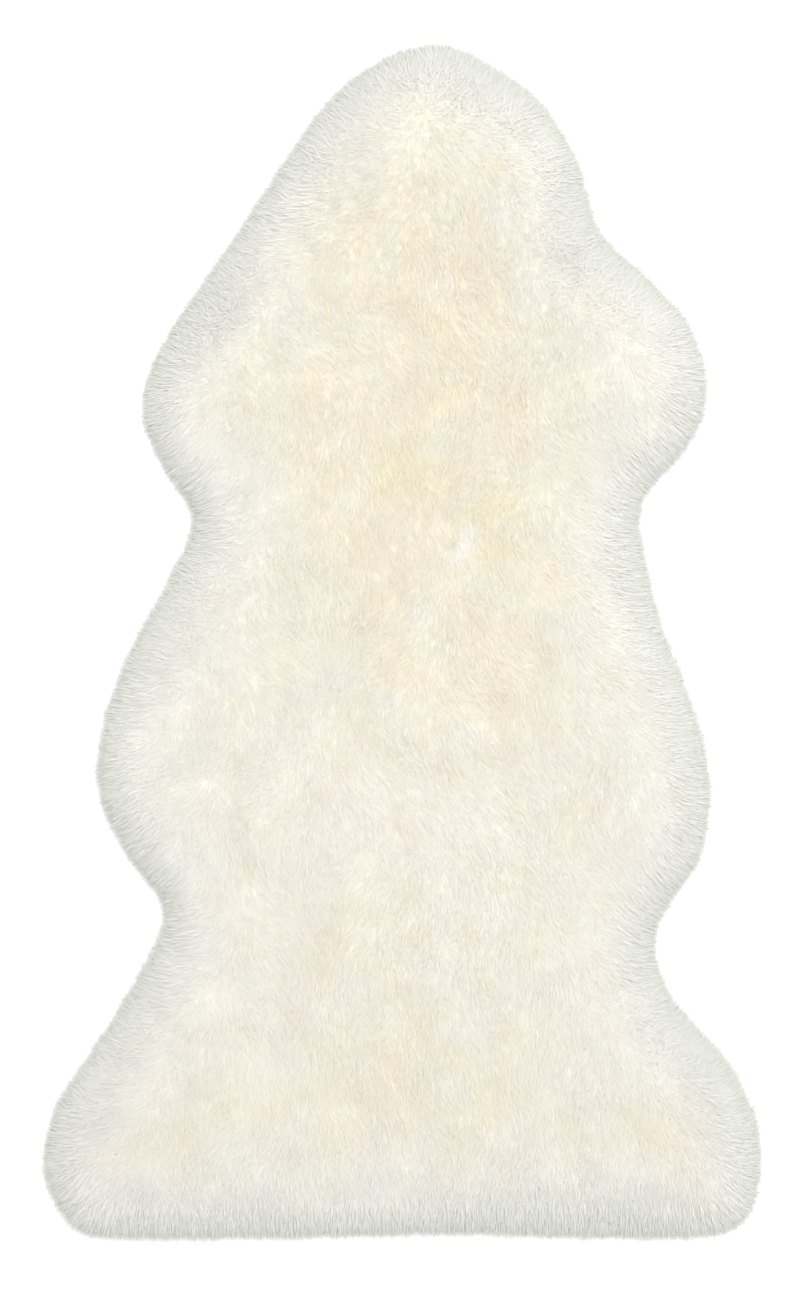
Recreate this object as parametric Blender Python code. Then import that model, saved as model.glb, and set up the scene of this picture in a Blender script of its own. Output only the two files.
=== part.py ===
"""Sheepskin rug: one tanned hide with its wool on, lying flat with the wool side up.

The wool stands as one dense, softly lumpy pile. It thins and bows outwards over the hide's cut
edge, where its locks hang down to the floor. Hide and wool are one piece, so they are one solid.

Frame: metres, +Z up, +Y from the tail to the neck, +X to the right as seen from above.
The origin is the middle of the rug's box on its underside, which lies flat on the floor.
"""

import math
from collections import namedtuple

import bmesh
import bpy
from mathutils import Vector, kdtree, noise

MM = 0.001

# Driving dimensions.
RUG_LENGTH = 1000 * MM
RUG_WIDTH = 602 * MM
PILE_HEIGHT = 50 * MM  # hide and wool together, at the middle of the rug
CROWN_SPREAD = 42 * MM  # how far in from the rim section the pile goes on rising

# The locks of the rim.
COLUMNS = 216  # stations round the outline, one lock wide each
LOCK_REACH_SPREAD = 2.0 * MM  # how much shorter than the outline a lock may be
LOCK_LEAN = 2.6 * MM  # how far a lock's tip may lean to either side
LOCK_WAIST = 0.84  # width of a lock half way along, as a share of its root
LOCK_BEND_AT = 0.5  # where a lock bends down, as a share of its length
LOCK_SAG = 0.35  # how much of a lock's drop comes before the bend
REACH_NOISE_WIDTH = 7 * MM  # neighbours differ in length
LEAN_NOISE_WIDTH = 26 * MM  # neighbours lean much the same way

# The unevenness of the wool.
NOISE_OFFSET = Vector((3.7, 8.1, 1.9))  # times the layer below, so that no two layers match
CROWN_LAYER = 1
RIM_LAYER = 2
REACH_LAYER = 5
LEAN_LAYER = 7
RIM_UNEVENNESS = 1.3 * MM
RIM_LUMP_WIDTH = 38 * MM
LUMP_FADE = 30 * MM  # the crown's lumps die away over this width towards the rim

CROWN_GRID = 19 * MM  # spacing of the points on the pile's crown
GRID_SNAP = 3 * MM  # points of the crown's edge this near to a grid line are moved onto it

OUTLINE_STEPS = 24  # fine steps between two landmarks before they are spaced evenly
NORMAL_WINDOW = 2  # stations on each side that smooth the outline's inward direction

WOOL_COLOUR = (0.86, 0.81, 0.68, 1.0)
WOOL_ROUGHNESS = 0.95

Landmark = namedtuple("Landmark", "part_of_hide across_mm along_mm")
Section = namedtuple("Section", "place inset_mm height_mm")
LockRow = namedtuple("LockRow", "hang grows_above first every tip_inset_mm tip_height_mm")
Lump = namedtuple("Lump", "width_mm height_mm")

LUMPS = (Lump(95, 3.4), Lump(44, 2.2))

# Where the lock tips reach, clockwise from the neck, from the middle of the rug.
OUTLINE = (
    Landmark("neck end", 29, 500),
    Landmark("neck end, right", 72, 484),
    Landmark("neck, right", 117, 452),
    Landmark("neck, right", 146, 408),
    Landmark("neck, right", 160, 364),
    Landmark("crease of the neck, right", 167, 341),
    Landmark("shoulder, right", 198, 312),
    Landmark("foreleg, right", 236, 274),
    Landmark("foreleg, right", 256, 226),
    Landmark("foreleg, right", 253, 184),
    Landmark("foreleg, right", 232, 150),
    Landmark("armpit, right", 204, 120),
    Landmark("armpit, right", 202, 86),
    Landmark("flank, right", 218, 18),
    Landmark("flank, right", 243, -46),
    Landmark("belly, right", 259, -116),
    Landmark("belly, right", 252, -178),
    Landmark("groin, right", 226, -217),
    Landmark("groin, right", 212, -254),
    Landmark("hock, right", 231, -300),
    Landmark("hind leg, right", 273, -346),
    Landmark("hind leg, right", 298, -398),
    Landmark("hind leg, right", 301, -446),
    Landmark("tail corner, right", 288, -484),
    Landmark("tail corner, right", 250, -497),
    Landmark("tail edge", 150, -497),
    Landmark("tail edge", 30, -495),
    Landmark("tail edge", -120, -498),
    Landmark("tail corner, left", -250, -498),
    Landmark("tail corner, left", -283, -480),
    Landmark("hind leg, left", -301, -436),
    Landmark("hind leg, left", -290, -385),
    Landmark("hock, left", -252, -327),
    Landmark("groin, left", -213, -262),
    Landmark("groin, left", -199, -222),
    Landmark("belly, left", -228, -182),
    Landmark("belly, left", -253, -134),
    Landmark("belly, left", -253, -78),
    Landmark("flank, left", -229, -8),
    Landmark("flank, left", -190, 64),
    Landmark("armpit, left", -175, 106),
    Landmark("foreleg, left", -200, 143),
    Landmark("foreleg, left", -219, 193),
    Landmark("foreleg, left", -204, 244),
    Landmark("shoulder, left", -154, 320),
    Landmark("neck, left", -108, 388),
    Landmark("neck, left", -68, 447),
    Landmark("neck end, left", -20, 486),
)

# The rim, from the hide's cut edge on the floor out and up to the crown.
RIM = (
    Section("hide, underside", 29, 0),
    Section("hide, wool side", 29, 2.5),
    Section("wool under the rim", 17, 4.5),
    Section("rim, low", 8.5, 8.5),
    Section("rim, middle", 5.5, 18),
    Section("rim, high", 8.5, 28),
    Section("shoulder of the pile", 17, 36.5),
    Section("edge of the crown", 30, 42.5),
)

# Rows of locks, each grown from the band of wool above one place of the rim.
LOCK_ROWS = (
    LockRow("down to the floor", "rim, low", 0, 2, 0.8, 1.6),
    LockRow("outwards", "rim, middle", 1, 2, 0.0, 11.0),
    LockRow("over the rim", "rim, high", 0, 4, 4.0, 24.0),
)


def clear_scene():
    for old in list(bpy.data.objects):
        bpy.data.objects.remove(old, do_unlink=True)


def curve_point(before, start, end, after, share):
    """A point of the smooth curve from start to end, which passes through all the landmarks."""
    square = share * share
    cube = square * share
    return 0.5 * (
        2 * start
        + (end - before) * share
        + (2 * before - 5 * start + 4 * end - after) * square
        + (3 * start - before - 3 * end + after) * cube
    )


def smooth_outline():
    """The landmarks joined by one closed smooth curve."""
    marks = [Vector((mark.across_mm, mark.along_mm)) * MM for mark in OUTLINE]
    count = len(marks)
    curve = []
    for i in range(count):
        before, start, end, after = (marks[(i + k) % count] for k in (-1, 0, 1, 2))
        for step in range(OUTLINE_STEPS):
            curve.append(curve_point(before, start, end, after, step / OUTLINE_STEPS))
    return curve


def evenly_spaced(curve, count):
    """count points at equal distances along a closed curve."""
    lengths = [(b - a).length for a, b in zip(curve, curve[1:] + curve[:1])]
    spacing = sum(lengths) / count
    spaced = []
    walked = 0.0
    for start, end, length in zip(curve, curve[1:] + curve[:1], lengths):
        while len(spaced) < count and len(spaced) * spacing < walked + length:
            spaced.append(start.lerp(end, (len(spaced) * spacing - walked) / length))
        walked += length
    return spaced


def inward_directions(stations):
    """The unit direction into the rug at each station of the clockwise outline, smoothed a little."""
    count = len(stations)
    inward = []
    for i in range(count):
        along = stations[(i + NORMAL_WINDOW) % count] - stations[i - NORMAL_WINDOW]
        inward.append(Vector((along.y, -along.x)).normalized())
    return inward


def unevenness(point, width, layer):
    """Smooth noise from about -1 to 1, whose lumps are about that wide."""
    return noise.noise(Vector((point.x, point.y, 0)) / width + NOISE_OFFSET * layer)


def rim_ring(section, stations, inward):
    """The closed ring of points at one place of the rim. Only the wool is uneven, never the hide."""
    is_wool = not section.place.startswith("hide")
    ring = []
    for station, direction in zip(stations, inward):
        layer = RIM_LAYER + section.height_mm
        wobble = RIM_UNEVENNESS * is_wool * unevenness(station, RIM_LUMP_WIDTH, layer)
        place = station + direction * (section.inset_mm * MM + wobble)
        ring.append(Vector((place.x, place.y, section.height_mm * MM + wobble)))
    if section is RIM[-1]:  # the crown is filled flat before it is raised, so its edge is level
        for point in ring:
            point.z = section.height_mm * MM
    return ring


def add_loop(bm, points):
    verts = [bm.verts.new(point) for point in points]
    return [bm.edges.new(pair) for pair in zip(verts, verts[1:] + verts[:1])]


def smooth_step(share):
    share = min(1.0, max(0.0, share))
    return share * share * (3 - 2 * share)


def crown_height(point, from_edge):
    """The height of the pile's crown at a point that lies from_edge inside the crown's edge."""
    edge_height = RIM[-1].height_mm * MM
    rise = (PILE_HEIGHT - edge_height) * math.sin(math.pi / 2 * min(1.0, from_edge / CROWN_SPREAD))
    lumps = sum(
        lump.height_mm * MM * unevenness(point, lump.width_mm * MM, CROWN_LAYER) for lump in LUMPS
    )
    return edge_height + rise + lumps * smooth_step(from_edge / LUMP_FADE)


def cut_crown(bm, crown_face):
    """Cuts the crown's one face into a square grid, with planes across and along the rug."""
    part = [crown_face]
    for axis, reach in ((Vector((1, 0, 0)), RUG_WIDTH / 2), (Vector((0, 1, 0)), RUG_LENGTH / 2)):
        steps = int(reach / CROWN_GRID)
        for step in range(-steps, steps + 1):
            edges = dict.fromkeys(edge for face in part for edge in face.edges)
            verts = dict.fromkeys(vert for face in part for vert in face.verts)
            cut = bmesh.ops.bisect_plane(
                bm,
                geom=[*verts, *edges, *part],
                dist=GRID_SNAP,
                plane_co=axis * (step * CROWN_GRID),
                plane_no=axis,
            )
            part = [item for item in cut["geom"] if isinstance(item, bmesh.types.BMFace)]
    return part


def raise_crown(crown_faces, edge_ring):
    """Lifts the inner points of the crown to the pile's height, and leaves its edge where it is."""
    crown = set(crown_faces)
    count = len(edge_ring)
    edge_tree = kdtree.KDTree(count)
    for i, point in enumerate(edge_ring):
        edge_tree.insert(point, i)
    edge_tree.balance()
    for vert in dict.fromkeys(vert for face in crown_faces for vert in face.verts):
        if all(face in crown for face in vert.link_faces):
            nearest = edge_tree.find(vert.co)[2]
            vert.co.z = crown_height(vert.co, nearest)


def faces_by_column(faces, stations):
    """The faces of one band of the rim in the order of the stations that they start from."""
    count = len(stations)
    tree = kdtree.KDTree(count)
    for i in range(count):
        middle = (stations[i] + stations[(i + 1) % count]) / 2
        tree.insert((middle.x, middle.y, 0), i)
    tree.balance()
    found = {}
    for face in faces:
        centre = face.calc_center_median()
        found[tree.find((centre.x, centre.y, 0))[1]] = face
    return found


def grow_lock(bm, face, tip):
    """Draws one lock of wool out of a face of the rim: a root, a bend and a pointed tip."""
    root = face.calc_center_median()
    bend = root.lerp(tip, LOCK_BEND_AT)
    bend.z = root.z + (tip.z - root.z) * LOCK_SAG
    grown = bmesh.ops.extrude_discrete_faces(bm, faces=[face])["faces"][0]
    for vert in grown.verts:
        vert.co = bend + (vert.co - root) * LOCK_WAIST
    point = bmesh.ops.poke(bm, faces=[grown])["verts"][0]
    point.co = tip


def lock_tip(row, station, direction):
    """Where a lock of the row ends: near the outline, a little short of it and to one side."""
    short = LOCK_REACH_SPREAD * (0.5 + 0.5 * unevenness(station, REACH_NOISE_WIDTH, REACH_LAYER))
    lean = LOCK_LEAN * unevenness(station, LEAN_NOISE_WIDTH, LEAN_LAYER)
    sideways = Vector((-direction.y, direction.x))
    place = station + direction * (row.tip_inset_mm * MM + short) + sideways * lean
    return Vector((place.x, place.y, row.tip_height_mm * MM))


def grow_locks(bm, bands, stations, inward):
    count = len(stations)
    for row in LOCK_ROWS:
        columns = faces_by_column(bands[row.grows_above], stations)
        for i in range(row.first, count, row.every):
            station = (stations[i] + stations[(i + 1) % count]) / 2
            direction = (inward[i] + inward[(i + 1) % count]).normalized()
            if i in columns:
                grow_lock(bm, columns[i], lock_tip(row, station, direction))


def fit_to_size(bm):
    """Brings the rug to its length and width, with its underside centred on the origin."""
    for axis, size in ((0, RUG_WIDTH), (1, RUG_LENGTH)):
        low = min(vert.co[axis] for vert in bm.verts)
        high = max(vert.co[axis] for vert in bm.verts)
        for vert in bm.verts:
            vert.co[axis] = (vert.co[axis] - (low + high) / 2) * size / (high - low)


def build_sheepskin():
    stations = evenly_spaced(smooth_outline(), COLUMNS)
    inward = inward_directions(stations)
    bm = bmesh.new()
    rings = [rim_ring(section, stations, inward) for section in RIM]
    loops = [add_loop(bm, ring) for ring in rings]
    bands = {
        section.place: bmesh.ops.bridge_loops(bm, edges=[*low, *high])["faces"]
        for section, low, high in zip(RIM, loops, loops[1:])
    }
    bmesh.ops.contextual_create(bm, geom=loops[0])
    crown_face = bmesh.ops.contextual_create(bm, geom=loops[-1])["faces"][0]
    raise_crown(cut_crown(bm, crown_face), rings[-1])
    grow_locks(bm, bands, stations, inward)
    fit_to_size(bm)
    bmesh.ops.recalc_face_normals(bm, faces=bm.faces)
    mesh = bpy.data.meshes.new("sheepskin")
    bm.to_mesh(mesh)
    bm.free()
    mesh.shade_smooth()
    return mesh


def wool_material():
    material = bpy.data.materials.new("wool")
    material.use_nodes = True
    surface = material.node_tree.nodes["Principled BSDF"]
    surface.inputs["Base Color"].default_value = WOOL_COLOUR
    surface.inputs["Roughness"].default_value = WOOL_ROUGHNESS
    surface.inputs["Metallic"].default_value = 0.0
    return material


def main():
    clear_scene()
    mesh = build_sheepskin()
    mesh.materials.append(wool_material())
    sheepskin = bpy.data.objects.new("sheepskin", mesh)
    bpy.context.scene.collection.objects.link(sheepskin)


main()
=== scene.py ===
"""Sheepskin rug: its fleece, its combed wool and the suede of its hide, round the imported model.

The fleece is the soft body of the pile. Wool fibres, made as joined meshes from arrays, cover it
and hang over its rim. The hide is the thin suede sheet underneath. Metres, +Z up, +Y to the neck.
"""

import math
from collections import namedtuple

import bmesh
import bpy
import numpy as np
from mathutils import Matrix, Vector


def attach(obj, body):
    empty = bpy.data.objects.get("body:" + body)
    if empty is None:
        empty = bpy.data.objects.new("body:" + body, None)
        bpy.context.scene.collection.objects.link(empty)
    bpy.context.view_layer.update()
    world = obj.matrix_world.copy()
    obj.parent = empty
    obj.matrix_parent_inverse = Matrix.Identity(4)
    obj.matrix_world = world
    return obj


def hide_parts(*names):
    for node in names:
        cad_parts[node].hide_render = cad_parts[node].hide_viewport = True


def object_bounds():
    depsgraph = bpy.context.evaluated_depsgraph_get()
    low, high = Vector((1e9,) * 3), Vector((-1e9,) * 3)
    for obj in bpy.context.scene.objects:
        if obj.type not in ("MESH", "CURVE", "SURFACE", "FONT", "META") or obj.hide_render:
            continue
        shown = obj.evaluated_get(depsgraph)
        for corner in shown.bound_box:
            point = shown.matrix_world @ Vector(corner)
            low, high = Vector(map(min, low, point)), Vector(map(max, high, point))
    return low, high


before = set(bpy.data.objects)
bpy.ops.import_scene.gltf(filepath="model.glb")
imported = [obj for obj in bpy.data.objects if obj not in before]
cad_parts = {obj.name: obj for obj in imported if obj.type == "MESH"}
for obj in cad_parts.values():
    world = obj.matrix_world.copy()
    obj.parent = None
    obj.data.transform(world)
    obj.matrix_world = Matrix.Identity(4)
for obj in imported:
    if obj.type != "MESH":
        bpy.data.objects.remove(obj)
cad_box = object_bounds()

MM = 0.001

# The hide.
SAME_PLACE = 0.02 * MM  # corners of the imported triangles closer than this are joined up
ON_FLOOR = 0.1 * MM  # what lies lower than this is on the floor
HIDE_INSET = 29 * MM  # how far the hide's edge lies inside the tips of the wool
HIDE_THICKNESS = 1.5 * MM

# The field of depths. The depth of a place is how far inside the line of the tips it lies.
FIELD_STEP = 3 * MM
FIELD_MARGIN = 30 * MM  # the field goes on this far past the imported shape
FIELD_SMOOTHING = 100  # rounds that soften its ridges, so that the wool doesn't part sharply there

# The fleece.
FLEECE_RIM = 4.2 * MM  # the depth of its rim, before it is drawn in
FLEECE_VOXEL = 4.6 * MM
FLEECE_SMOOTHING = 12  # rounds before it is drawn in
FLEECE_SETTLING = 2  # and after
FLEECE_SINK = 6.0 * MM  # the wool stands this far over the fleece
SIDE_SINK = 2.7 * MM  # the same at its steep sides
FLEECE_LOWEST = 1.6 * MM  # it stays just over the hide

# Noise over the floor: how much it does, how wide its lumps are, its seed, and how many layers
# it has, each half as wide and half as strong as the one before.
Noise = namedtuple("Noise", "most wide seed layers")
NOISE_TABLE = 256  # it comes again after this many lumps
NOISE_SHIFT = 97.3  # in lumps, so that no edge of a lump lies at the middle of the rug

# The way that the wool is combed.
COMBED = -math.pi / 2  # towards the tail, as an angle about +Z
COMB_STRAY = (Noise(0.85, 90 * MM, 31, 1), Noise(0.5, 34 * MM, 32, 1))  # in radians
RIM_START = 10 * MM  # up to this depth the wool points straight out
RIM_REACH = 74 * MM  # from there it turns to the way that it is combed within this distance
PARTING_TURN = (1.6, 2.6)  # it parts as those two ways come to lie this many radians apart
PARTING_STARTS = 0.35  # the share of the turn over which a parting comes in, on its inner side
PARTING_ENDS = 0.2  # and the share over which it goes, at the rim
PARTING_STRAY = 1.5  # how far the wool strays at a parting, in radians
PARTING_RISE = 0.15  # how much more upright it stands there
PARTING_TOUSLE = 0.4  # how much more its fibres spread there, for each share that it rises

# How the fibres stand.
BARE_BELOW = 4 * MM  # no wool grows from the fleece lower than this,
BARE_FACING = -0.55  # or where it faces down more than this; 1 is up
ROOT_DEPTH = 2.5 * MM
HANG = 1.5  # how much the wool hangs down where the fleece is steep
SHINGLE = 5.0  # how much flatter it lies where it turns down over the rim
SHINGLE_REACH = 55 * MM
LEAN_NOISE = Noise(0.16, 22 * MM, 41, 1)
LENGTH_NOISE = Noise(0.08, 15 * MM, 42, 1)
LENGTH_RANGE = (0.75, 1.15)  # of one fibre, as a share of its coat's length
WIDTH_RANGE = (0.7, 1.2)
TUFT_WIDTH = 7 * MM
TUFT_SEED = 51
TUFT_TABLE = 64  # the tufts come again after this many
TUFT_PULL = 0.27  # how far a fibre leans towards its tuft's middle
RIM_PULL = 0.15  # the share of that pull that is left at the rim
SIDE_PULL = 0.5  # the share that comes on top of it at the sides
TIP_LIMITS = (-7.5 * MM, 4.5 * MM)  # the wool ends here and there between these depths
SHORTEST = 0.25  # no fibre is cut to less than this share of its length
TIP_LOWEST = 0.6 * MM
DROOP = 5 * MM  # how far the tips of jointed fibres hang
DROOP_REACH = 45 * MM
JOINT_WIDTH = 0.85  # of a jointed fibre at its middle, as a share of its width at the root
BLADE_TWIST = 0.3
FACING_UP = 0.3  # how much the fibres face up, against the way that the fleece under them faces
SIDES_SEEN_UP = 0.3  # fibres turn their faces outwards, and at the sides this much upwards,
LEVEL_SEEN_UP = 3  # and more by this on level places
LIT_AS_FACE = 0.17  # how much a fibre is lit as its own face, against the way that all of them face

Coat = namedtuple("Coat", "name seed fibres joints from_rim_mm length_mm width_mm lean spread")
COATS = (
    Coat("wool_first", 11, 140_000, 1, (0, 999), 13.5, 1.15, 1.15, 0.30),
    Coat("wool_second", 12, 140_000, 1, (0, 999), 13.0, 1.10, 1.10, 0.33),
    Coat("wool_third", 13, 140_000, 1, (0, 999), 12.5, 1.00, 1.05, 0.36),
    Coat("wool_fourth", 14, 140_000, 1, (0, 999), 14.0, 0.78, 1.10, 0.42),
    Coat("wool_edge", 16, 50_000, 1, (0, 32), 11.0, 1.10, 0.9, 0.45),
    Coat("wool_rim", 15, 50_000, 2, (0, 42), 19.0, 0.85, 0.9, 0.30),
)

# Where the wool runs to a point: the angle is the way to the point, about +Z in degrees.
Lock = namedtuple("Lock", "name x y wide_mm angle length_mm hold")
LOCKS = (
    Lock("tuft", 0.034, 0.091, 9, -62, 16, 0.7),
    Lock("lower left", 0.012, -0.074, 8, -84, 16, 0.35),
    Lock("lower middle", 0.035, -0.082, 8, -76, 16, 0.35),
    Lock("lower right", 0.062, -0.074, 9, -96, 17, 0.4),
    Lock("loin", -0.012, -0.010, 9, -100, 15, 0.35),
)
LOCK_EDGE = (0.6, 1.6)  # its hold fades between these distances, as shares of its width
LOCK_HOLDS = (0.7, 1)  # the hold on one fibre, as a share of the lock's

# The colours of the wool.
# painted shade: the wool at the rim is greyer and darker, for the shade where the pile turns away
# from the light above
RIM_PAINTED_SHADE = (0.762, 0.771, 0.722, 1)
MARGIN_WHITE = (0.932, 0.933, 0.892, 1)
TONE_WHITE = (0.98, 0.975, 0.94, 1)
WHITE = (0.97, 0.953, 0.89, 1)
CREAM = (0.95, 0.923, 0.84, 1)
BUTTER = (0.95, 0.905, 0.775, 1)
STRAW = (0.95, 0.893, 0.69, 1)
PEACH = (0.935, 0.857, 0.725, 1)
HUES = ("butter", "straw", "peach", "white")
TONE_SPREAD = 0.20  # how much whiter the whitest fibres are
RIM_PAINTED_SHADE_DEPTHS = (4 * MM, 52 * MM)  # the painted shade of the rim goes over into the wool's colour here,
MARGIN_DEPTHS = (5 * MM, 105 * MM)  # and the white of the margin here
MARGIN_NOISE = (Noise(0.36, 70 * MM, 5556, 3), Noise(0.216, 26 * MM, 2752, 3))
SIDE_RIM_SHADE_LIFT = 42 * MM  # the painted rim shade is kept off the steep sides: their wool is coloured as wool that lies this far further in
FLEECE_PAINTED_LIGHT = 90 * MM  # the same for the fleece, which shows between them: there it is painted light, for the shadowed gaps between the fibres
FLEECE_STEEP = 0.3  # it gets all of that from this steepness on: 0 is level, 1 is upright

# Soft patches of another colour: the middle and the reach in metres, and the most that it shows.
Tint = namedtuple("Tint", "name x y wide long hue most")
TINTS = (
    Tint("back", 0.032, 0.19, 0.240, 0.37, "butter", 1.0),
    Tint("spine", 0.022, 0.27, 0.030, 0.20, "straw", 0.35),
    Tint("shoulders", -0.002, 0.148, 0.060, 0.055, "straw", 0.8),
    Tint("beside the tuft", 0.064, 0.098, 0.035, 0.050, "straw", 0.75),
    Tint("loin, left", 0.006, -0.006, 0.045, 0.040, "straw", 0.4),
    Tint("loin, right", 0.080, -0.030, 0.060, 0.050, "straw", 0.35),
    Tint("neck", 0.047, 0.322, 0.040, 0.018, "peach", 0.9),
    Tint("left hip", -0.192, -0.400, 0.060, 0.050, "peach", 0.75),
    Tint("right hip", 0.238, -0.400, 0.055, 0.060, "peach", 1.0),
    Tint("rump", -0.030, -0.380, 0.110, 0.070, "peach", 0.35),
    Tint("tuft", 0.041, 0.080, 0.015, 0.019, "white", 0.9),
    Tint("lower tuft", 0.058, -0.085, 0.030, 0.040, "white", 0.2),
    Tint("foreleg, right", 0.190, 0.232, 0.070, 0.080, "white", 0.5),
    Tint("belly, left", -0.205, -0.100, 0.075, 0.120, "white", 0.25),
)
TINT_CORE = 0.3  # a patch shows in full up to this share of its reach
TINT_WANDER = (Noise(30 * MM, 62 * MM, 71, 3), Noise(30 * MM, 62 * MM, 81, 3))  # along X and Y

# Patches that come by noise: the hue shows as the noise rises from the low value to the high one.
Blotches = namedtuple("Blotches", "hue most low high noise")
BLOTCHES = (
    Blotches("butter", 0.45, -0.6, 0.6, Noise(1, 77 * MM, 504, 3)),
    Blotches("peach", 0.5, 0.08, 0.68, Noise(1, 21 * MM, 276, 3)),
    Blotches("white", 0.5, 0.1, 0.7, Noise(-1, 21 * MM, 276, 3)),
    Blotches("straw", 0.38, 0.12, 0.62, Noise(1, 25 * MM, 1140, 3)),
)

# The finishes.
WOOL_FINISH = {"Roughness": 0.85, "Specular IOR Level": 0.2}
FLEECE_FINISH = {"Roughness": 0.95, "Specular IOR Level": 0.1}
FLEECE_SHADE = (0.97, 0.965, 0.95, 1)  # painted shade: it is a little darker than wool, as the shaded depth of a pile is
SUEDE_FINISH = {"Roughness": 0.9}
# The suede's colours are given with the places on its ramp where they start.
SUEDE_COLOURS = ((0.35, (0.48, 0.38, 0.26, 1)), (0.68, (0.62, 0.52, 0.38, 1)))
SUEDE_CLOUDS = {"Scale": 9, "Detail": 6}
SUEDE_NAP = {"Scale": 700, "Detail": 3}
NAP_RELIEF = {"Strength": 0.35, "Distance": 0.4 * MM}
MAP_MARGIN = 16 * MM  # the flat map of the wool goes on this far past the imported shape

# The stage.
FLOOR_RADIUS = 12
FLOOR_FINISH = {"Roughness": 0.9, "Emission Color": (1, 1, 1, 1)}
FLOOR_PALENESS = {"To Min": 0.8, "To Max": 0.92}  # for the light it throws back, and for the camera
FLOOR_GLOW = {"From Min": 0.7, "From Max": 3.0, "To Min": 0.2, "To Max": 0.7}  # by the distance
SKY_STRENGTHS = {"A": 0.64, "B": 1.0}  # for the light it gives, and for the camera
LAMP_PLACE = (0.30, 0.44, 3.2)
LAMP_SIZE = 1.6
LAMP_POWER = 76
VIEW_LENGTH = 1075.8 * MM  # from the top of the picture to its bottom
VIEW_LEVEL = 12 * MM  # the height over the floor at which the view is that long
VIEW_CENTRE = (-2.3 * MM, -3.3 * MM)
LENS_MM = 85
SENSOR_MM = 36


def add_object(name, data):
    added = bpy.data.objects.new(name, data)
    bpy.context.scene.collection.objects.link(added)
    return added


# ---- arrays ----


def read_vectors(items, name):
    found = np.empty(len(items) * 3, np.float32)
    items.foreach_get(name, found)
    return found.reshape(-1, 3).astype(float)


def unit(vectors):
    return vectors / np.maximum(np.linalg.norm(vectors, axis=1), 1e-9)[:, None]


def smooth_step(value, low=0, high=1):
    """0 up to the low value, 1 from the high value on, and a soft rise between them."""
    share = np.clip((value - low) / (high - low), 0, 1)
    return share * share * (3 - 2 * share)


def read_grid(grid, low, high, share):
    """What a grid holds between its nodes, from the low and the high node of each place's cell."""
    i, j = low.T
    k, m = high.T
    across, along = share.T
    if grid.ndim == 3:
        across, along = across[:, None], along[:, None]
    low_side = grid[i, j] * (1 - across) + grid[k, j] * across
    high_side = grid[i, m] * (1 - across) + grid[k, m] * across
    return low_side * (1 - along) + high_side * along


def neighbour_mean(grid):
    padded = np.pad(grid, 1, mode="edge")
    rows, columns = grid.shape
    shifted = [padded[i : i + rows, j : j + columns] for i in range(3) for j in range(3)]
    return sum(shifted) / len(shifted)


def soft_noise(points, wide, seed):
    """Smooth noise from -1 to 1 over the floor, whose lumps are about that wide."""
    table = np.random.default_rng(seed).uniform(-1, 1, (NOISE_TABLE, NOISE_TABLE))
    at = points[:, :2] / wide + NOISE_SHIFT
    cell = np.floor(at).astype(int)
    return read_grid(table, cell % NOISE_TABLE, (cell + 1) % NOISE_TABLE, smooth_step(at - cell))


def noise_at(points, *noises):
    """The sum of the noises at each point."""
    total = np.zeros(len(points))
    for most, wide, seed, layers in noises:
        parts = [soft_noise(points, wide / 2**k, seed + k) / 2**k for k in range(layers)]
        total += most * sum(parts) / sum(1 / 2**k for k in range(layers))
    return total


# ---- where things are ----


def merged_copy(node):
    """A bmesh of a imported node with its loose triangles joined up."""
    bm = bmesh.new()
    bm.from_mesh(node.data)
    bmesh.ops.remove_doubles(bm, verts=bm.verts, dist=SAME_PLACE)
    return bm


def hide_edge(bm):
    """The hide's edge, where steep faces meet the floor, as points in order round the rug."""
    floor = [v for v in bm.verts if v.co.z < ON_FLOOR]
    on_floor = set(floor)
    ring = [max(floor, key=lambda v: v.co.y)]
    while True:
        here = ring[-1]
        nexts = [
            edge.other_vert(here)
            for edge in here.link_edges
            if edge.other_vert(here) in on_floor
            and edge.other_vert(here) not in ring
            and any(abs(face.normal.z) < 0.5 for face in edge.link_faces)
        ]
        if not nexts:
            return np.array([v.co[:2] for v in ring])
        ring.append(max(nexts, key=lambda v: v.co.x) if len(ring) == 1 else nexts[0])


def polygon_distance(points, ring):
    """How far each point lies inside a closed outline, negative outside it."""
    nearest = np.full(len(points), np.inf)
    inside = np.zeros(len(points), bool)
    for start, end in zip(ring, np.roll(ring, -1, axis=0)):
        along = end - start
        share = ((points - start) @ along / (along @ along)).clip(0, 1)
        gap = np.linalg.norm(points - start - share[:, None] * along, axis=1)
        nearest = np.minimum(nearest, gap)
        crosses = (start[1] > points[:, 1]) != (end[1] > points[:, 1])
        if along[1]:
            at = start[0] + (points[:, 1] - start[1]) * along[0] / along[1]
            inside ^= crosses & (points[:, 0] < at)
    return np.where(inside, nearest, -nearest)


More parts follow.
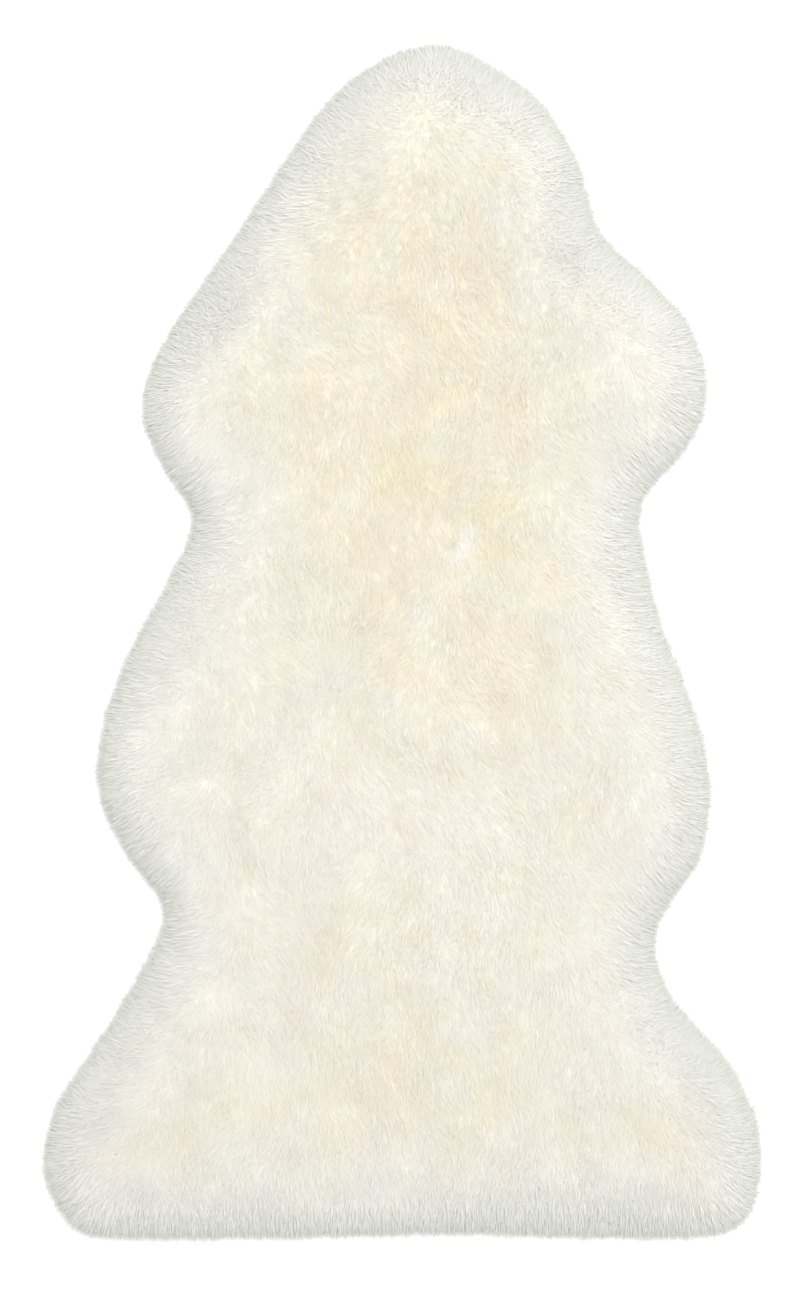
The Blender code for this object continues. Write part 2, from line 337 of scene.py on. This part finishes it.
class RimField:
    """The depth of each place of the floor, and the way out from there."""

    def __init__(self, ring, low, high):
        self.low = np.array(low[:2]) - FIELD_MARGIN
        size = np.array(high[:2]) + FIELD_MARGIN - self.low
        count = np.ceil(size / FIELD_STEP).astype(int) + 1
        across, along = (self.low[k] + np.arange(count[k]) * FIELD_STEP for k in range(2))
        places = np.stack(np.meshgrid(across, along, indexing="ij"), -1).reshape(-1, 2)
        self.depth = polygon_distance(places, ring).reshape(count) + HIDE_INSET
        smooth = self.depth
        for _ in range(FIELD_SMOOTHING):
            smooth = neighbour_mean(smooth)
        self.outward = -np.stack(np.gradient(smooth, FIELD_STEP), -1)

    def read(self, grid, points):
        at = (points[:, :2] - self.low) / FIELD_STEP
        cell = np.floor(at).astype(int).clip(0, np.array(self.depth.shape) - 2)
        return read_grid(grid, cell, cell + 1, at - cell)

    def depth_at(self, points):
        return self.read(self.depth, points)

    def outward_at(self, points):
        return self.read(self.outward, points)


# ---- the colours that the wool's points hold ----


def store(mesh, name, values):
    layer = mesh.attributes.new(name, "FLOAT_VECTOR", "POINT")
    layer.data.foreach_set("vector", np.asarray(values, np.float32).ravel())


def natural_tints(place):
    """How buttery, straw and peach coloured the wool is at each place, and how white."""
    spot = place[:, :2] + np.stack([noise_at(place, noise) for noise in TINT_WANDER], 1)
    found = {hue: np.zeros(len(place)) for hue in HUES}
    for tint in TINTS:
        gap = np.hypot((spot[:, 0] - tint.x) / tint.wide, (spot[:, 1] - tint.y) / tint.long)
        shown = tint.most * (1 - smooth_step(gap, TINT_CORE, 1))
        found[tint.hue] = np.maximum(found[tint.hue], shown)
    for hue, most, low, high, noise in BLOTCHES:
        shown = most * smooth_step(noise_at(place, noise), low, high)
        found[hue] = np.maximum(found[hue], shown)
    *hues, white = (found[hue] for hue in HUES)
    return np.stack(hues, 1), white


def margin_depth(place, field):
    """The depth that sets how much painted rim shade, and how much margin white, the wool gets. It
    wanders, so that the margin is uneven.
    """
    return field.depth_at(place) * (1 + noise_at(place, *MARGIN_NOISE))


# ---- the fleece ----


def without_locks(cad, field):
    """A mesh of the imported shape, with its locks pushed back to the fleece's rim."""
    bm = merged_copy(cad)
    places = np.array([v.co for v in bm.verts])
    short = np.maximum(FLEECE_RIM - field.depth_at(places), 0)
    moves = -unit(field.outward_at(places)) * short[:, None]
    for vert, move in zip(bm.verts, moves):
        vert.co.x += move[0]
        vert.co.y += move[1]
    mesh = bpy.data.meshes.new("fleece")
    bm.to_mesh(mesh)
    bm.free()
    return mesh


def smooth(bm, rounds):
    for _ in range(rounds):
        bmesh.ops.smooth_vert(
            bm, verts=bm.verts, factor=0.5, use_axis_x=True, use_axis_y=True, use_axis_z=True
        )


def draw_in(mesh):
    """Smooths the fleece and moves it inwards, which leaves room for the wool."""
    bm = bmesh.new()
    bm.from_mesh(mesh)
    smooth(bm, FLEECE_SMOOTHING)
    bm.normal_update()
    for vert in bm.verts:
        sink = FLEECE_SINK + (SIDE_SINK - FLEECE_SINK) * (1 - abs(vert.normal.z))
        vert.co -= vert.normal * sink
    smooth(bm, FLEECE_SETTLING)
    for vert in bm.verts:
        vert.co.z = max(vert.co.z, FLEECE_LOWEST)
    bm.to_mesh(mesh)
    bm.free()


def colour_fleece(mesh, field):
    """Gives the fleece the colours of the wool over it, and painted light at its steep sides: there
    it loses the painted rim shade, which lightens the shadowed gaps between the fibres.
    """
    places = read_vectors(mesh.vertices, "co")
    steep = 1 - read_vectors(mesh.vertices, "normal")[:, 2].clip(0, 1)
    hues, white = natural_tints(places)
    depth = margin_depth(places, field)
    # painted light at the fleece's steep sides near the rim: the painted rim shade is taken off
    # there
    at_side = smooth_step(steep, 0, FLEECE_STEEP) * (1 - smooth_step(depth, 0, SHINGLE_REACH))
    depth += FLEECE_PAINTED_LIGHT * at_side
    store(mesh, "hues", hues)
    store(mesh, "lights", np.stack([white, depth, np.zeros(len(places))], 1))


def make_fleece(cad, field):
    """The soft body of the pile."""
    coarse = without_locks(cad, field)
    fleece = add_object("fleece", coarse)
    remesh = fleece.modifiers.new("even grid", "REMESH")
    remesh.mode = "VOXEL"
    remesh.voxel_size = FLEECE_VOXEL
    graph = bpy.context.evaluated_depsgraph_get()
    even = bpy.data.meshes.new_from_object(fleece.evaluated_get(graph))
    fleece.modifiers.clear()
    fleece.data = even
    bpy.data.meshes.remove(coarse)
    even.name = "fleece"
    draw_in(even)
    even.shade_smooth()
    colour_fleece(even, field)
    return fleece


# ---- the wool ----


class Ground:
    """The fleece as arrays, from which fibres take their roots."""

    def __init__(self, fleece, field):
        mesh = fleece.data
        mesh.calc_loop_triangles()
        self.places = read_vectors(mesh.vertices, "co")
        self.normals = read_vectors(mesh.vertices, "normal")
        corners = np.empty(len(mesh.loop_triangles) * 3, np.int32)
        mesh.loop_triangles.foreach_get("vertices", corners)
        corners = corners.reshape(-1, 3)
        a, b, c = (self.places[corners[:, k]] for k in range(3))
        across = np.cross(b - a, c - a)
        size = np.linalg.norm(across, axis=1) / 2
        up = across[:, 2] / np.maximum(2 * size, 1e-12)
        middle = (a + b + c) / 3
        bears_wool = (up > BARE_FACING) & (middle[:, 2] > BARE_BELOW)
        self.corners = corners[bears_wool]
        self.size = size[bears_wool]
        self.depth = field.depth_at(middle[bears_wool])

    def roots(self, count, from_rim_mm, rng):
        """Places and normals of roots, between two distances from the rim."""
        low, high = from_rim_mm
        weight = self.size * ((self.depth > low * MM) & (self.depth < high * MM))
        total = np.cumsum(weight)
        face = np.searchsorted(total, rng.uniform(0, total[-1], count))
        share = rng.uniform(0, 1, (count, 2))
        over = share.sum(1) > 1
        share[over] = 1 - share[over]
        weights = np.concatenate([1 - share.sum(1, keepdims=True), share], axis=1)
        corners = self.corners[face]
        place = (self.places[corners] * weights[:, :, None]).sum(1)
        normal = unit((self.normals[corners] * weights[:, :, None]).sum(1))
        return place, normal


def comb(place, field, rng):
    """The angle at which the wool is combed, and how far it rises where it parts.

    It lies towards the tail in the middle and turns outwards near the rim. Where it parts to both
    sides, at the top of the neck, it is tousled and stands up more.
    """
    near_rim = 1 - smooth_step(field.depth_at(place) - RIM_START, 0, RIM_REACH)
    combed = COMBED + noise_at(place, *COMB_STRAY) * (1 - near_rim)
    outward = field.outward_at(place)
    turn = np.arctan2(outward[:, 1], outward[:, 0]) - combed
    turn = (turn + math.pi) % (2 * math.pi) - math.pi
    inner = smooth_step(near_rim, 0, PARTING_STARTS)
    outer = smooth_step(1 - near_rim, 0, PARTING_ENDS)
    parting = smooth_step(np.abs(turn), *PARTING_TURN) * inner * outer
    stray = rng.normal(0, PARTING_STRAY, len(turn)) * parting
    return combed + turn * near_rim + stray, PARTING_RISE * parting


def fibre_ways(coat, root, normal, rise, angle, depth, rng):
    """The way that each fibre points: along the comb and down the sides, with some stray."""
    level = normal[:, 2].clip(0, 1)
    combed = np.stack([np.cos(angle), np.sin(angle), np.zeros(len(angle))], 1)
    combed *= 1 - rise[:, None]
    combed[:, 2] = -HANG * (1 - level)
    slope = unit(combed - (combed * normal).sum(1, keepdims=True) * normal)
    slope *= 1 - rise[:, None]
    stray = rng.normal(0, 1, root.shape) * (coat.spread + PARTING_TOUSLE * rise[:, None])
    lean = coat.lean + noise_at(root, LEAN_NOISE)
    turning = 2 * level * np.sqrt(1 - level**2)
    lean *= 1 + SHINGLE * turning * (1 - smooth_step(depth, 0, SHINGLE_REACH))
    return unit(normal + slope * lean[:, None] + stray)


def tuft_middles(place):
    """For each place, the middle of the tuft of wool that it belongs to."""
    jitter = np.random.default_rng(TUFT_SEED).uniform(0, 1, (TUFT_TABLE, TUFT_TABLE, 2))
    cell = np.floor(place[:, :2] / TUFT_WIDTH).astype(int)
    best = np.full(len(place), np.inf)
    middle = np.zeros((len(place), 2))
    for i in (-1, 0, 1):
        for j in (-1, 0, 1):
            near = cell + (i, j)
            row, column = near.T % TUFT_TABLE
            spot = (near + jitter[row, column]) * TUFT_WIDTH
            gap = np.linalg.norm(place[:, :2] - spot, axis=1)
            closer = gap < best
            best[closer] = gap[closer]
            middle[closer] = spot[closer]
    return middle


def gather(tip, root, level, rise, depth, rng):
    """Moves the tips together: at a lock to its point, and everywhere to the middle of a tuft."""
    for lock in LOCKS:
        gap = np.hypot(root[:, 0] - lock.x, root[:, 1] - lock.y) / (lock.wide_mm * MM)
        hold = lock.hold * (1 - smooth_step(gap, *LOCK_EDGE)) * rng.uniform(*LOCK_HOLDS, len(gap))
        angle = math.radians(lock.angle)
        ahead = np.array((math.cos(angle), math.sin(angle))) * lock.length_mm * MM
        tip[:, :2] += ((lock.x, lock.y) + ahead - tip[:, :2]) * hold[:, None]
    pull = RIM_PULL + (1 - RIM_PULL) * smooth_step(depth, 0, RIM_REACH) + SIDE_PULL * (1 - level)
    pull *= TUFT_PULL * (1 - rise)
    tip[:, :2] += (tuft_middles(root) - root[:, :2]) * pull[:, None]


def trim(start, tip, root_depth, field, rng):
    """The tips, cut back where they would reach too far past the rug's outline."""
    limit = rng.uniform(*TIP_LIMITS, len(tip))
    tip_depth = field.depth_at(tip)
    share = (root_depth - limit) / np.maximum(root_depth - tip_depth, 1e-4)
    kept = np.where(tip_depth < limit, share.clip(SHORTEST, 1), 1)
    return start + (tip - start) * kept[:, None]


def blade_sides(start, tip, normal, level, rng):
    """The way that each blade is wide, and the way that its light comes from."""
    way = unit(tip - start)
    facing = unit(normal + (0, 0, FACING_UP))
    side = unit(np.cross(way, facing) + rng.normal(0, BLADE_TWIST, way.shape))
    side = unit(side - (side * way).sum(1, keepdims=True) * way)
    face = unit(np.cross(side, way))
    seen_from = normal + (0, 0, 1) * (SIDES_SEEN_UP + LEVEL_SEEN_UP * level[:, None] ** 2)
    turned = np.where((face * seen_from).sum(1) < 0, -1, 1)[:, None]
    lit = unit(facing * (1 - LIT_AS_FACE) + face * turned * LIT_AS_FACE)
    return side * turned, lit


def make_coat(coat, ground, field):
    """One coat of wool: many fibres, each a long tapering blade with its root in the fleece."""
    rng = np.random.default_rng(coat.seed)
    count = coat.fibres
    root, normal = ground.roots(count, coat.from_rim_mm, rng)
    level = normal[:, 2].clip(0, 1)
    depth = field.depth_at(root)
    angle, rise = comb(root, field, rng)
    way = fibre_ways(coat, root, normal, rise, angle, depth, rng)
    length = coat.length_mm * MM * rng.uniform(*LENGTH_RANGE, count)
    length *= 1 + noise_at(root, LENGTH_NOISE)
    start = root - normal * ROOT_DEPTH
    tip = start + way * length[:, None]
    gather(tip, root, level, rise, depth, rng)
    tip = trim(start, tip, depth, field, rng)
    droop = DROOP * (1 - smooth_step(depth, 0, DROOP_REACH)) * (coat.joints > 1)
    tip[:, 2] = np.maximum(tip[:, 2] - droop, TIP_LOWEST)
    middle = (start + tip) / 2
    middle[:, 2] += droop / 2

    side, lit = blade_sides(start, tip, normal, level, rng)
    half = side * (coat.width_mm * MM / 2 * rng.uniform(*WIDTH_RANGE, count))[:, None]
    rows = [start - half, start + half]
    if coat.joints > 1:
        rows += [middle - half * JOINT_WIDTH, middle + half * JOINT_WIDTH]
    rows.append(tip)
    tone = rng.uniform(0, 1, count)
    # the steep sides are kept free of the painted rim shade
    rim_shade_lift = SIDE_RIM_SHADE_LIFT * (1 - level) ** 2
    return blades(coat, np.stack(rows, 1), lit, tone, rim_shade_lift, field)


def blades(coat, points, lit, tone, rim_shade_lift, field):
    """The mesh of one coat, from each fibre's points: pairs from the root on, and last the tip."""
    count, rows = points.shape[:2]
    first = np.arange(count)[:, None] * rows
    if coat.joints > 1:
        triangles = np.concatenate([first + (0, 1, 3), first + (0, 3, 2), first + (2, 3, 4)], 1)
    else:
        triangles = first + (0, 1, 2)
    corners = triangles.ravel()
    mesh = bpy.data.meshes.new(coat.name)
    mesh.vertices.add(count * rows)
    mesh.vertices.foreach_set("co", points.astype(np.float32).ravel())
    mesh.loops.add(len(corners))
    mesh.loops.foreach_set("vertex_index", corners.astype(np.int32))
    mesh.polygons.add(len(corners) // 3)
    mesh.polygons.foreach_set("loop_start", np.arange(0, len(corners), 3, dtype=np.int32))
    mesh.update(calc_edges=True)
    mesh.shade_smooth()
    hues, white = natural_tints(points[:, 0])
    depth = margin_depth(points.reshape(-1, 3), field) + np.repeat(rim_shade_lift, rows)
    store(mesh, "hues", np.repeat(hues, rows, axis=0))
    store(mesh, "lights", np.stack([np.repeat(white, rows), depth, np.repeat(tone, rows)], 1))
    mesh.normals_split_custom_set_from_vertices(np.repeat(lit, rows, axis=0))
    add_bake_map(mesh, corners)
    return add_object(coat.name, mesh)


def add_bake_map(mesh, corners):
    """A map seen from above, on which each fibre lies where it lies on the rug."""
    low, high = (np.array(corner[:2]) for corner in cad_box)
    low, high = low - MAP_MARGIN, high + MAP_MARGIN
    flat = (read_vectors(mesh.vertices, "co")[:, :2] - low) / (high - low)
    layer = mesh.uv_layers.new(name="OFBake")
    layer.uv.foreach_set("vector", flat[corners].astype(np.float32).ravel())


# ---- the hide ----


def make_hide(ring):
    """The thin sheet under the wool, with its edge cut square."""
    bm = bmesh.new()
    lower, upper = ([bm.verts.new((x, y, z)) for x, y in ring] for z in (0, HIDE_THICKNESS))
    bm.faces.new(lower)
    bm.faces.new(upper)
    for k in range(len(ring)):
        bm.faces.new((lower[k - 1], lower[k], upper[k], upper[k - 1]))
    bmesh.ops.recalc_face_normals(bm, faces=bm.faces)
    bmesh.ops.triangulate(bm, faces=[f for f in bm.faces if len(f.verts) > 4])
    mesh = bpy.data.meshes.new("hide")
    bm.to_mesh(mesh)
    bm.free()
    return add_object("hide", mesh)


# ---- the finishes ----


def set_inputs(node, values):
    for name, value in values.items():
        node.inputs[name].default_value = value


def add_node(tree, kind, values=None):
    node = tree.nodes.new("ShaderNode" + kind)
    set_inputs(node, values or {})
    return node


def new_material(name, finish):
    material = bpy.data.materials.new(name)
    material.use_nodes = True
    tree = material.node_tree
    surface = tree.nodes["Principled BSDF"]
    set_inputs(surface, finish)
    return material, tree, surface


def mixed_colour(tree, share, first, second, blend="MIX"):
    """The socket of a mix of two colours. Each of them, and the share, is a value or a socket."""
    node = add_node(tree, "Mix")
    node.data_type = "RGBA"
    node.blend_type = blend
    for key, value in (("Factor", share), (6, first), (7, second)):
        if isinstance(value, bpy.types.NodeSocket):
            tree.links.new(value, node.inputs[key])
        else:
            node.inputs[key].default_value = value
    return node.outputs[2]


def wool_colour_group():
    """The natural colours of the wool, with the painted shade of its rim, mixed by what the wool's
    points hold.
    """
    group = bpy.data.node_groups.new("wool colour", "ShaderNodeTree")
    group.interface.new_socket("Hues", in_out="INPUT", socket_type="NodeSocketVector")
    group.interface.new_socket("Lights", in_out="INPUT", socket_type="NodeSocketVector")
    group.interface.new_socket("Colour", in_out="OUTPUT", socket_type="NodeSocketColor")
    source = group.nodes.new("NodeGroupInput")
    target = group.nodes.new("NodeGroupOutput")

    def parts(name):
        node = add_node(group, "SeparateXYZ")
        group.links.new(source.outputs[name], node.inputs[0])
        return node.outputs

    def spread(value, low, high, most=1.0, curve="SMOOTHSTEP"):
        node = add_node(group, "MapRange", {"From Min": low, "From Max": high, "To Max": most})
        node.interpolation_type = curve
        group.links.new(value, node.inputs["Value"])
        return node.outputs[0]

    butter, straw, peach = parts("Hues")
    white, depth, tone = parts("Lights")
    colour = mixed_colour(group, butter, CREAM, BUTTER)
    colour = mixed_colour(group, straw, colour, STRAW)
    colour = mixed_colour(group, peach, colour, PEACH)
    colour = mixed_colour(group, white, colour, WHITE)
    in_margin = spread(depth, *MARGIN_DEPTHS, curve="LINEAR")
    colour = mixed_colour(group, in_margin, MARGIN_WHITE, colour)
    # painted shade: grey at the rim, where the pile turns away from the light
    colour = mixed_colour(group, spread(depth, *RIM_PAINTED_SHADE_DEPTHS), RIM_PAINTED_SHADE, colour)
    colour = mixed_colour(group, spread(tone, 0, 1, TONE_SPREAD), colour, TONE_WHITE)
    group.links.new(colour, target.inputs["Colour"])
    return group


def wool_material(name, finish, colours, shade=None):
    """A finish in the wool's colours, made darker by a painted shade where one is given."""
    material, tree, surface = new_material(name, finish)
    group = add_node(tree, "Group")
    group.node_tree = colours
    for attribute, socket in (("hues", "Hues"), ("lights", "Lights")):
        node = add_node(tree, "Attribute")
        node.attribute_name = attribute
        tree.links.new(node.outputs["Vector"], group.inputs[socket])
    colour = group.outputs["Colour"]
    if shade:
        # painted shade: the colour is multiplied darker, for the shade deep in the pile
        colour = mixed_colour(tree, 1, colour, shade, "MULTIPLY")
    tree.links.new(colour, surface.inputs["Base Color"])
    return material


def suede_material():
    """Clouded tan with a fine nap."""
    material, tree, surface = new_material("suede", SUEDE_FINISH)
    place = add_node(tree, "TexCoord")

    def noise(values):
        node = add_node(tree, "TexNoise", values)
        tree.links.new(place.outputs["Object"], node.inputs["Vector"])
        return node.outputs[0]

    ramp = add_node(tree, "ValToRGB")
    for element, (position, colour) in zip(ramp.color_ramp.elements, SUEDE_COLOURS):
        element.position = position
        element.color = colour
    bump = add_node(tree, "Bump", NAP_RELIEF)
    tree.links.new(noise(SUEDE_CLOUDS), ramp.inputs[0])
    tree.links.new(noise(SUEDE_NAP), bump.inputs["Height"])
    tree.links.new(ramp.outputs[0], surface.inputs["Base Color"])
    tree.links.new(bump.outputs["Normal"], surface.inputs["Normal"])
    return material


# ---- the stage ----


def make_stage():
    """A white floor. What the camera sees of it glows a little, and more so further away."""
    bm = bmesh.new()
    bmesh.ops.create_circle(bm, cap_ends=True, radius=FLOOR_RADIUS, segments=64)
    mesh = bpy.data.meshes.new("floor")
    bm.to_mesh(mesh)
    bm.free()
    floor = add_object("floor", mesh)
    material, tree, surface = new_material("floor", FLOOR_FINISH)
    seen = add_node(tree, "LightPath").outputs["Is Camera Ray"]
    paleness = add_node(tree, "MapRange", FLOOR_PALENESS)
    tree.links.new(seen, paleness.inputs["Value"])
    tree.links.new(paleness.outputs[0], surface.inputs["Base Color"])
    place = add_node(tree, "TexCoord")
    away = add_node(tree, "VectorMath")
    away.operation = "LENGTH"
    tree.links.new(place.outputs["Object"], away.inputs[0])
    glow = add_node(tree, "MapRange", FLOOR_GLOW)
    tree.links.new(away.outputs["Value"], glow.inputs["Value"])
    shown = add_node(tree, "Math")
    shown.operation = "MULTIPLY"
    tree.links.new(seen, shown.inputs[0])
    tree.links.new(glow.outputs[0], shown.inputs[1])
    tree.links.new(shown.outputs[0], surface.inputs["Emission Strength"])
    mesh.materials.append(material)


def add_sky():
    """White light from all round, a little brighter where the camera sees it."""
    world = bpy.data.worlds.new("studio")
    world.use_nodes = True
    tree = world.node_tree
    sky = tree.nodes["Background"]
    set_inputs(sky, {"Color": (1, 1, 1, 1)})
    ray = add_node(tree, "LightPath")
    strength = add_node(tree, "Mix", SKY_STRENGTHS)
    tree.links.new(ray.outputs["Is Camera Ray"], strength.inputs["Factor"])
    tree.links.new(strength.outputs[0], sky.inputs["Strength"])
    bpy.context.scene.world = world


def add_lamp():
    """A broad, soft light that hangs high over the rug and looks at its middle."""
    data = bpy.data.lights.new("top light", "AREA")
    data.shape = "DISK"
    data.size = LAMP_SIZE
    data.energy = LAMP_POWER
    lamp = add_object("top light", data)
    lamp.location = LAMP_PLACE
    lamp.rotation_euler = (-Vector(LAMP_PLACE)).to_track_quat("-Z", "Y").to_euler()


def add_camera():
    """The camera looks straight down."""
    data = bpy.data.cameras.new("camera")
    data.lens = LENS_MM
    data.sensor_width = SENSOR_MM
    camera = add_object("camera", data)
    camera.location = (*VIEW_CENTRE, VIEW_LENGTH * LENS_MM / SENSOR_MM + VIEW_LEVEL)
    bpy.context.scene.camera = camera


# ---- the rug ----

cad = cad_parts["sheepskin"]
cad_mesh = merged_copy(cad)
edge = hide_edge(cad_mesh)
cad_mesh.free()
field = RimField(edge, *cad_box)

fleece = make_fleece(cad, field)
ground = Ground(fleece, field)
coats = [make_coat(coat, ground, field) for coat in COATS]
hide = make_hide(edge)

colours = wool_colour_group()
wool = wool_material("wool", WOOL_FINISH, colours)
fleece.data.materials.append(wool_material("fleece", FLEECE_FINISH, colours, FLEECE_SHADE))
hide.data.materials.append(suede_material())
for coat in coats:
    coat.data.materials.append(wool)

for piece in (fleece, *coats):
    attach(piece, "root")
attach(hide, "root")
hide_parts("sheepskin")

make_stage()
add_sky()
add_lamp()
add_camera()
bpy.context.scene.view_settings.view_transform = "Standard"
